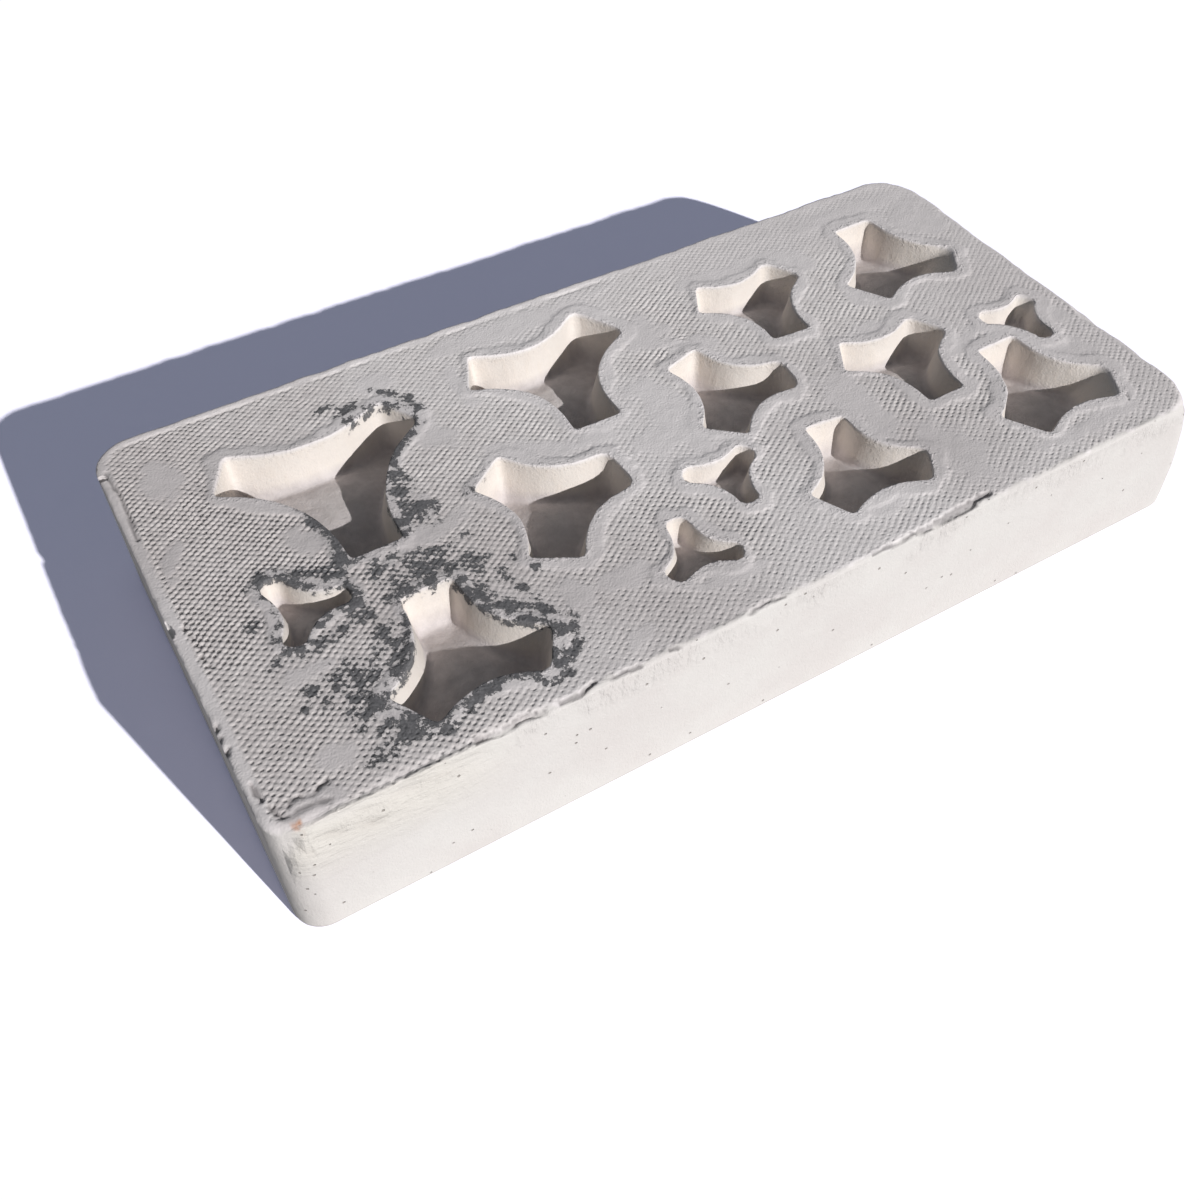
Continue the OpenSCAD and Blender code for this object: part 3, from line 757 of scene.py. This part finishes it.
def printed_top():
    """A closed slab, larger than the block, whose upper face is the top with its canvas print and lips."""
    pitch = np.array(THREAD_PITCH) / 2
    deselect_objects()
    bpy.ops.mesh.primitive_grid_add(
        x_subdivisions=2 * HALF_CELLS[0], y_subdivisions=2 * HALF_CELLS[1], size=2)
    top = bpy.context.object
    top.scale = (HALF_CELLS[0] * pitch[0] * MM, HALF_CELLS[1] * pitch[1] * MM, 1)
    bpy.ops.object.transform_apply(location=True, rotation=True, scale=True)
    divide_finely(top)
    u, v = vertex_places(top)[:, :2].T
    x, y, rim, edge = printed_places(u, v)
    move_vertices(top, np.stack([x, y, top_height(x, y, u, v, rim, edge)], axis=1))

    edit_mode(True)
    pick(top, "edges", lambda line: line.is_boundary)
    bpy.ops.mesh.extrude_edges_indiv()
    bpy.ops.transform.translate(value=(0, 0, -SLAB_DROP * MM))
    bpy.ops.transform.resize(value=(SLAB_SPREAD, SLAB_SPREAD, 0), center_override=(0, 0, SLAB_BOTTOM * MM))
    bpy.ops.mesh.edge_face_add()
    edit_mode(False)
    outwards(top)
    return top


def cavity_rings(cavity):
    """The rings of a cavity's cutter around the block's origin, from above the lip down to the floor."""
    size = CAVITY_SIZES[cavity.size]
    foot = math.tan(WALL_DRAFT) * size.depth
    seed = CAVITIES.index(cavity) * 10 + 100

    def level(flat, z):
        return np.c_[flat, np.full(len(flat), z)]

    def lowered(flat, share):
        depth = floor_depth(size, np.hypot(*flat.T))
        for (shallow, arm), rise in SHALLOW_ARMS.items():
            if shallow == cavity.name:
                at_tip = rise * ramp(flat @ along(cavity.arms[arm]), SHALLOW_START * size.reach, size.reach)
                depth = depth * (1 - at_tip)
                flat = flat * (1 - SHALLOW_NARROWING * at_tip * share)[:, None]
        return np.c_[flat, LIP_TOP - share * depth]

    rings = [level(cavity_outline(cavity, -RIM_BREAK - OVER), LIP_TOP + OVER)]
    rings.append(level(cavity_outline(cavity, 0), LIP_TOP - RIM_BREAK))
    rings += [lowered(cavity_outline(cavity, inset * foot), share) for inset, share in WALL_RINGS]
    floor = cavity_outline(cavity, foot + FLOOR_FILLET)
    rings += [lowered(floor * spread, 1) for spread in FLOOR_RINGS]
    for number, ring in enumerate(rings):
        ring[:, :2] += cavity.place
        x, y, z = ring.T
        away = ring[:, :2] - cavity.place
        away /= np.hypot(*away.T)[:, None]
        wave = 0.28 * soft_noise(x, y + z, 9, seed) + 0.12 * soft_noise(x + z, y - z, 3.2, seed + 1)
        if number < RAGGED_RINGS:
            ragged = ramp(soft_noise(x, y, 14, seed + 3), -0.1, 0.6)
            wave = wave + 0.3 * ragged * soft_noise(x, y, 1.5, seed + 4)
        if number <= len(rings) - len(FLOOR_RINGS):
            ring[:, :2] += away * wave[:, None]
        else:
            ring[:, 2] += 1.1 * wave + 0.15 * soft_noise(x, y, 2.5, seed + 2)
    return rings


def cavity_cutter(cavity):
    """A solid with the shape of a cavity, extruded ring by ring."""
    rings = cavity_rings(cavity)
    deselect_objects()
    bpy.ops.mesh.primitive_circle_add(vertices=len(rings[0]), radius=MM, fill_type="NOTHING")
    cutter = bpy.context.object
    cutter.name = cavity.name + "_cutter"
    edit_mode(True)
    mesh = bmesh.from_edit_mesh(cutter.data)
    around = mesh.verts.layers.int.new("around")
    for number, vert in enumerate(mesh.verts):
        vert[around] = number
    for number, ring in enumerate(rings):
        if number:
            bpy.ops.mesh.extrude_edges_indiv()
        mesh = bmesh.from_edit_mesh(cutter.data)
        around = mesh.verts.layers.int["around"]
        for vert in mesh.verts:
            if vert.select:
                vert.co = Vector(ring[vert[around]]) * MM
        bmesh.update_edit_mesh(cutter.data)
    bpy.ops.mesh.merge(type="CENTER")
    pick(cutter, "edges", lambda line: line.is_boundary)
    bpy.ops.mesh.edge_face_add()
    edit_mode(False)
    outwards(cutter)
    return cutter


def carve(piece, tools, operation):
    """Cuts the tools from the piece, or keeps only what it shares with them, and deletes the tools."""
    for tool in tools:
        deselect_objects()
        bpy.context.view_layer.objects.active = piece
        bpy.ops.object.modifier_add(type="BOOLEAN")
        cut = piece.modifiers[-1]
        cut.operation = operation
        cut.solver = "MANIFOLD"
        cut.object = tool
        bpy.ops.object.modifier_apply(modifier=cut.name)
        bpy.data.objects.remove(tool)


def broken_stone(place, half_sizes, seed):
    """A rough stone, whose shape is broken out of an edge."""
    deselect_objects()
    bpy.ops.mesh.primitive_ico_sphere_add(subdivisions=3, radius=1)
    stone = bpy.context.object
    points = read_places(stone.data.vertices, "co")
    x, y, z = points.T
    rough = 1 + 0.22 * soft_noise(x + 3, y + z, 0.6, seed) + 0.1 * soft_noise(x - z, y, 0.25, seed + 1)
    move_vertices(stone, points * rough[:, None] * np.array(half_sizes) + np.array(place))
    return stone


def cast_mould():
    """The whole mould: the block with its printed top, cavities and broken edges."""
    mould = printed_top()
    mould.name = "mould_plaster"
    carve(mould, [bare_block()], "INTERSECT")
    carve(mould, [cavity_cutter(cavity) for cavity in CAVITIES], "DIFFERENCE")
    stones = [broken_stone(*chip, seed=300 + 7 * i) for i, chip in enumerate(CHIPS)]
    carve(mould, stones, "DIFFERENCE")
    deselect_objects()
    mould.select_set(True)
    bpy.context.view_layer.objects.active = mould
    edit_mode(True)
    bpy.ops.mesh.select_all(action="SELECT")
    bpy.ops.mesh.quads_convert_to_tris(quad_method="BEAUTY", ngon_method="BEAUTY")
    edit_mode(False)
    bpy.ops.object.shade_smooth()
    places = vertex_places(mould)
    places[:, 0] += TO_ORIGIN
    move_vertices(mould, places)
    return mould


mould = cast_mould()


def thread_places(x, y):
    """Where on the unstretched canvas a place of the top was printed."""
    u, v = x.copy(), y.copy()
    for _ in range(4):
        shift = canvas_shift(u, v)
        u, v = x - shift[0], y - shift[1]
    return u, v


def clay_share(x, y, rim):
    """How much dark clay stuck to a place: above 1 in the middle of a dab, about 0.6 at its border."""
    clay = np.zeros(x.shape)
    for shape in CLAY_DABS:
        clay = np.maximum(clay, 1.2 * np.clip(1 - 0.5 * oval(x, y, *shape), 0, 1))
    for shape in CLAY_RIMS:
        near_rim = ramp(rim, 4.5, 0.8)
        clay = np.maximum(clay, 1.15 * np.clip(1 - 0.5 * oval(x, y, *shape), 0, 1) ** 0.7 * near_rim)
    return clay


def mark_surface(piece):
    """Gives each vertex the shares that the plaster's finish reads."""
    x, y, z = vertex_places(piece).T
    x = x - TO_ORIGIN
    rim, which = rim_distance(x, y)
    edge = edge_distance(x, y)
    canvas = canvas_share(x, y, rim, edge)
    relief = canvas * print_strength(x, y)
    falling, rising = thread_phases(*thread_places(x, y))
    on_top = ramp(z, TOP - 2.6, TOP - 1.2)
    inside = ramp(-rim, -0.1, 0.25) * ramp(TOP - z, 0.2, 1.2) * (edge > 3)
    depth = np.array([CAVITY_SIZES[cavity.size].depth for cavity in CAVITIES])[which]
    ragged = 0.9 * soft_noise(x, 0 * y, 5, 69) + 0.6 * soft_noise(x, y, 1.6, 74)
    near_slope = ramp(y + ragged, -76.5, -77.3)
    below_near_edge = ramp(y, -77, -78) * ramp(z, 38, 44)
    near_left = ramp(x, -85, -120) * ramp(y, -76, -77.5)
    left_strip = 0.5 * ramp(x, -155, -157) * ramp(y, 30, 0)
    pale = between_places(x, y, PALENESS) + 0.1 * soft_noise(x, y, 13, 70) + left_strip
    rust_x, rust_y, rust_radius = RUST_SPOT
    marks = {
        "canvas": relief * on_top,
        "faint": relief * on_top * ramp(relief, 0.35, 0.2),
        "pale": np.clip(pale, 0, 1.2),
        "pitted": ramp(y, -30, -62) + ramp(x, -80, -30) * ramp(y, 15, -20) + 0.6 * ramp(x, -95, -130),
        "falling": falling,
        "rising": rising,
        "clay": clay_share(x, y, rim) * on_top,
        # Painted shade: where the cracks' colour is darkened.
        "crack": ramp(crack_depth(x, y), 0.1, 0.5) * on_top,
        "fringe": below_near_edge * ramp(z, 50, 49),
        "scarred": near_left * ramp(z, 22, 40),
        "scar": near_left * scar_share(x, z),
        "rust": ramp(np.hypot(x - rust_x, y - rust_y), rust_radius, 0.6),
        "inside": inside,
        # Painted shade: the deeper part of each cavity's floor, where its colour is darkened.
        "floor": inside * ramp(LIP_TOP - z, depth * 0.62, depth * 0.78),
        "top": on_top * (1 - inside) * (1 - near_slope),
        "rim": ramp(np.abs(rim - 0.4), 2.2, 0.3) * ramp(z, TOP - 3, TOP - 1),
    }
    for name, values in marks.items():
        layer = piece.data.attributes.new(name, "FLOAT", "POINT")
        layer.data.foreach_set("value", np.asarray(values, np.float32))


mark_surface(mould)


class Nodes:
    """A node tree, and short ways to add and join its nodes."""

    def __init__(self, tree):
        self.tree = tree
        self.tree.nodes.clear()

    def add(self, kind, settings=None, **inputs):
        """A node with its settings and inputs. An input is a constant or another node's output."""
        node = self.tree.nodes.new(kind)
        for key, value in (settings or {}).items():
            setattr(node, key, value)
        for key, value in inputs.items():
            socket = node.inputs[int(key[1:])] if key[1:].isdigit() else node.inputs[key.replace("_", " ")]
            self.feed(socket, value)
        return node

    def feed(self, socket, value):
        """Joins another node's output to a socket, or sets it to a constant."""
        if isinstance(value, bpy.types.NodeSocket):
            self.tree.links.new(value, socket)
        else:
            socket.default_value = value

    def math(self, operation, a, b=0.0, clamp=False):
        return self.add("ShaderNodeMath", {"operation": operation, "use_clamp": clamp}, _0=a, _1=b).outputs[0]

    def plus(self, a, b, clamp=False):
        return self.math("ADD", a, b, clamp)

    def times(self, first, *others, clamp=False):
        for other in others:
            first = self.math("MULTIPLY", first, other, clamp)
        return first

    def background_share(self):
        """1 where the camera, gloss or glass sees this, and 0 where it lights something."""
        seen = self.add("ShaderNodeLightPath").outputs
        shown = self.plus(seen["Is Camera Ray"], seen["Is Glossy Ray"], clamp=True)
        return self.plus(shown, seen["Is Transmission Ray"], clamp=True)


class Plaster(Nodes):
    """The patterns and blends that the plaster's colours and bumps are made of."""

    def __init__(self, tree):
        super().__init__(tree)
        self.places = self.add("ShaderNodeTexCoord").outputs["Object"]
        self.broad, self.mid, self.grain = self.noise(45, 4), self.noise(260, 4), self.noise(1500, 3)
        self.streaks = self.noise(420, 3, 0.5, stretch=(1, 1, 0.12))
        self.canvas, self.inside = self.share("canvas"), self.share("inside")
        self.hole = self.pinholes()
        self.find_canvas_marks()
        self.find_clay()

    def share(self, name):
        """What mark_surface gave each vertex under this name."""
        return self.add("ShaderNodeAttribute", {"attribute_name": name}).outputs["Fac"]

    def noise(self, scale, detail=3.0, roughness=0.55, stretch=None):
        """Cloudy random values, and finer or coarser along each axis where stretch says so."""
        places = self.places
        if stretch:
            places = self.add("ShaderNodeMapping", None, Vector=places, Scale=stretch).outputs[0]
        return self.add("ShaderNodeTexNoise", None, Vector=places, Scale=scale, Detail=detail,
                        Roughness=roughness).outputs["Fac"]

    def between(self, value, low, high, first=0.0, last=1.0):
        """A share that goes from first to last while the value goes from low to high."""
        return self.add("ShaderNodeMapRange", None, Value=value, From_Min=low, From_Max=high,
                        To_Min=first, To_Max=last).outputs["Result"]

    def blend(self, share, first, second):
        """The first colour where the share is 0, and the second where it is 1."""
        node = self.add("ShaderNodeMix", {"data_type": "RGBA"}, _0=share)
        for socket, colour in ((node.inputs[6], first), (node.inputs[7], second)):
            self.feed(socket, colour if isinstance(colour, bpy.types.NodeSocket) else (*colour, 1))
        return node.outputs[2]

    def patches(self, value, low, high, colours):
        """Two colours that run together in patches, while the value goes from low to high."""
        return self.blend(self.between(value, low, high), *colours)

    def pinholes(self):
        """1 in the pinholes, which are neither on the top nor in the cavities."""
        bubbles = self.add("ShaderNodeTexVoronoi", None, Vector=self.places, Scale=210.0).outputs
        return self.times(
            self.between(bubbles["Distance"], 0.1, 0.07), self.between(bubbles["Color"], 0.48, 0.5),
            self.between(self.share("top"), 0.1, 0), self.between(self.inside, 0.1, 0),
        )

    def find_canvas_marks(self):
        """Where the threads left beads, grooves and round pits in the print."""
        wobble = [self.between(self.noise(scale, 2), 0.2, 0.8, -0.9, 0.9) for scale in (620, 710)]
        phases = [self.plus(self.share(name), bent) for name, bent in zip(("falling", "rising"), wobble)]
        hollow = [self.between(self.math("COSINE", phase), 1, -1) for phase in phases]
        counts = [self.math("FLOOR", self.math("DIVIDE", phase, 2 * math.pi)) for phase in phases]
        thread = self.add("ShaderNodeCombineXYZ", None, X=counts[0], Y=counts[1]).outputs[0]
        chance = self.add("ShaderNodeTexWhiteNoise", None, Vector=thread).outputs["Value"]
        often = self.between(chance, 0.15, 0.8, 0.25, 1)
        self.wave = self.plus(*[self.math("COSINE", phase) for phase in phases])
        self.groove = self.math("MAXIMUM", *[self.math("POWER", share, 3.0) for share in hollow])
        self.pit = self.times(self.math("POWER", self.times(*hollow), 1.8), self.times(often, self.canvas))
        self.more_pits = self.between(self.share("pitted"), 0, 1, 0.4, 1)

    def find_clay(self):
        """Where dark clay stuck, more in the print's hollows than on its beads, and its thin smears."""
        stuck, torn, fleck = self.share("clay"), self.noise(260, 8, 0.7), self.noise(900, 4, 0.6)
        spread = self.plus(stuck, self.between(torn, 0.3, 0.7, -1.25, 1.25))
        spread = self.plus(spread, self.times(self.pit, 0.5))
        spread = self.plus(spread, self.times(self.wave, self.canvas, -0.18))
        near_clay = self.between(stuck, 0.02, 0.25)
        self.smear = self.times(self.between(spread, 0.1, 0.7), self.between(fleck, 0.35, 0.65), near_clay)
        self.clay = self.times(self.between(spread, 0.62, 0.76), near_clay)

    def clean_colour(self):
        """The clean plaster: its sides, coloured darker than the top as painted shade, its printed or smooth
        top, and the cavities' walls and floors, with painted shade darkening the deeper floors.
        """
        pale = self.share("pale")
        # Painted shade: the sides are coloured darker than the top.
        side = self.patches(self.broad, 0.35, 0.65, SIDE_COLOURS_WITH_PAINTED_SHADE)
        skins = [self.patches(self.broad, 0.35, 0.65, pair) for pair in (DULL_SKIN, PALE_SKIN)]
        prints = [self.patches(self.mid, 0.3, 0.7, pair) for pair in (DULL_PRINT, PALE_PRINT)]
        walls = self.patches(self.mid, 0.3, 0.75, CREAM_WALLS)
        walls = self.blend(self.times(self.between(self.streaks, 0.5, 0.75), 0.35), walls, WARM_STREAKS)
        # Painted shade: the darker colours of the cavities' deeper floors.
        floors = self.patches(self.mid, 0.35, 0.65, SHADE_PAINTED_FLOORS)
        colour = self.blend(self.share("top"), side, self.blend(pale, *skins))
        colour = self.blend(self.times(self.canvas, 1.3, clamp=True), colour, self.blend(pale, *prints))
        colour = self.blend(self.inside, colour, walls)
        return self.blend(self.times(self.share("floor"), 0.7), colour, floors)

    def worn_colour(self, colour):
        """The colour with dirt and painted shade in the print's pits, scars, the rust spot, and painted shade
        in the pinholes and the cracks.
        """
        wear = [
            # Dirt and painted shade in the print's pits.
            (self.times(self.pit, self.between(self.more_pits, 0, 1, 0.75, 0.95), clamp=True), PIT_DIRT_AND_SHADE),
            (self.times(self.share("scarred"), 0.6), SCARRED_FACE),
            (self.times(self.share("scar"), 0.25), SCAR_LINES),
            (self.times(self.share("rust"), self.between(self.mid, 0.4, 0.6)), RUST),
            # Painted shade inside the pinholes.
            (self.times(self.hole, 0.85), PINHOLE_SHADE),
            # Painted shade inside the cracks.
            (self.times(self.share("crack"), 0.75), CRACK_SHADE),
        ]
        for share, worn in wear:
            colour = self.blend(share, colour, worn)
        return colour

    def clay_colour(self, colour):
        """The colour with the dark clay and its smears."""
        colour = self.blend(self.times(self.smear, 0.5), colour, CLAY_SMEAR)
        clay = self.patches(self.grain, 0.35, 0.65, DARK_CLAY)
        return self.blend(self.times(self.clay, 0.93), colour, clay)

    def bump_height(self):
        """The fine relief in millimetres, as a sum of patterns."""
        crumbs = self.between(self.noise(800, 3), 0.5, 0.75)
        drips = self.between(self.noise(330, 5, 0.6, stretch=(1, 1, 0.4)), 0.4, 0.75)
        fringe = self.times(self.share("fringe"), self.between(self.broad, 0.4, 0.55))
        cuts = self.noise(170, 5, 0.6, stretch=(0.45, 1, 1.3))
        patterns = [
            (0.22, self.mid),
            (0.15, self.streaks, self.inside),
            (-0.5, self.hole),
            (-0.03, self.groove, self.canvas),
            (-0.4, self.pit, self.more_pits),
            (0.1, self.wave, self.share("faint")),
            (0.25, crumbs, self.share("rim")),
            (0.6, drips, fringe),
            (1.8, cuts, self.share("scarred")),
            (-0.35, self.share("scar")),
            (0.15, self.clay),
        ]
        height = self.times(self.grain, 0.16)
        for amount, *shares in patterns:
            height = self.plus(height, self.times(*shares, amount))
        return height


def new_material(name):
    """A material whose nodes can be added."""
    material = bpy.data.materials.new(name)
    material.use_nodes = True
    return material


def plaster_finish():
    """Old pottery plaster: warm white sides with painted shade, a greyer printed top, creamy cavities whose
    deeper floors are darkened by painted shade, and dark clay.
    """
    material = new_material("plaster")
    plaster = Plaster(material.node_tree)
    colour = plaster.clay_colour(plaster.worn_colour(plaster.clean_colour()))
    bump = plaster.add("ShaderNodeBump", None, Strength=1.0, Distance=MM, Height=plaster.bump_height())
    surface = plaster.add("ShaderNodeBsdfPrincipled", None, Base_Color=colour, Roughness=0.85,
                          Normal=bump.outputs["Normal"], Specular_IOR_Level=0.25)
    plaster.add("ShaderNodeOutputMaterial", None, Surface=surface.outputs[0])
    return material


mould.data.materials.clear()
mould.data.materials.append(plaster_finish())
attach(mould, "root")
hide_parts("mould_block")


def studio_floor():
    """A pale floor that shows white where it is lit and keeps the mould's shadow."""
    deselect_objects()
    bpy.ops.mesh.primitive_plane_add(size=FLOOR_SIZE)
    floor = bpy.context.object
    floor.name = "studio_floor"
    material = new_material("pale_floor")
    pale = Nodes(material.node_tree)
    bounce = pale.add("ShaderNodeBsdfDiffuse", None, Color=FLOOR_BOUNCE).outputs[0]
    seen = [pale.add("ShaderNodeBsdfDiffuse", None, Color=FLOOR_SEEN).outputs[0] for _ in range(2)]
    tint = pale.add("ShaderNodeEmission", None, Color=SHADOW_TINT, Strength=SHADOW_TINT_STRENGTH).outputs[0]
    double = pale.add("ShaderNodeAddShader", None, _0=seen[0], _1=seen[1]).outputs[0]
    bright = pale.add("ShaderNodeAddShader", None, _0=double, _1=tint).outputs[0]
    both = pale.add("ShaderNodeMixShader", None, _0=pale.background_share(), _1=bounce, _2=bright).outputs[0]
    pale.add("ShaderNodeOutputMaterial", None, Surface=both)
    floor.data.materials.append(material)


def studio_light():
    """One low key lamp from the near right, and an even pale room."""
    to_lamp = Vector(TO_LAMP).normalized()
    deselect_objects()
    bpy.ops.object.light_add(type="SUN", location=to_lamp)
    key = bpy.context.object
    key.rotation_euler = to_lamp.to_track_quat("Z", "Y").to_euler()
    key.data.energy = LAMP_STRENGTH
    key.data.angle = math.radians(LAMP_WIDTH)
    room = bpy.data.worlds.new("pale_room")
    bpy.context.scene.world = room
    room.use_nodes = True
    nodes = Nodes(room.node_tree)
    fill = nodes.add("ShaderNodeBackground", None, Color=ROOM_LIGHT, Strength=ROOM_STRENGTH).outputs[0]
    white = nodes.add("ShaderNodeBackground", None, Color=WHITE).outputs[0]
    both = nodes.add("ShaderNodeMixShader", None, _0=nodes.background_share(), _1=fill, _2=white).outputs[0]
    nodes.add("ShaderNodeOutputWorld", None, Surface=both)


def photo_camera():
    """The camera at the photograph's viewing angle."""
    lens = bpy.data.cameras.new("photo_camera")
    camera = bpy.data.objects.new("photo_camera", lens)
    bpy.context.scene.collection.objects.link(camera)
    lens.sensor_width, lens.lens = SENSOR, LENS
    lens.clip_start, lens.clip_end = 0.01, 50
    turn = Matrix((CAMERA_RIGHT, CAMERA_UP, [-value for value in CAMERA_FORWARD])).transposed()
    camera.matrix_world = Matrix.Translation(CAMERA_PLACE) @ turn.to_4x4()
    bpy.context.scene.camera = camera


studio_floor()
studio_light()
photo_camera()
bpy.context.scene.view_settings.view_transform = "Standard"
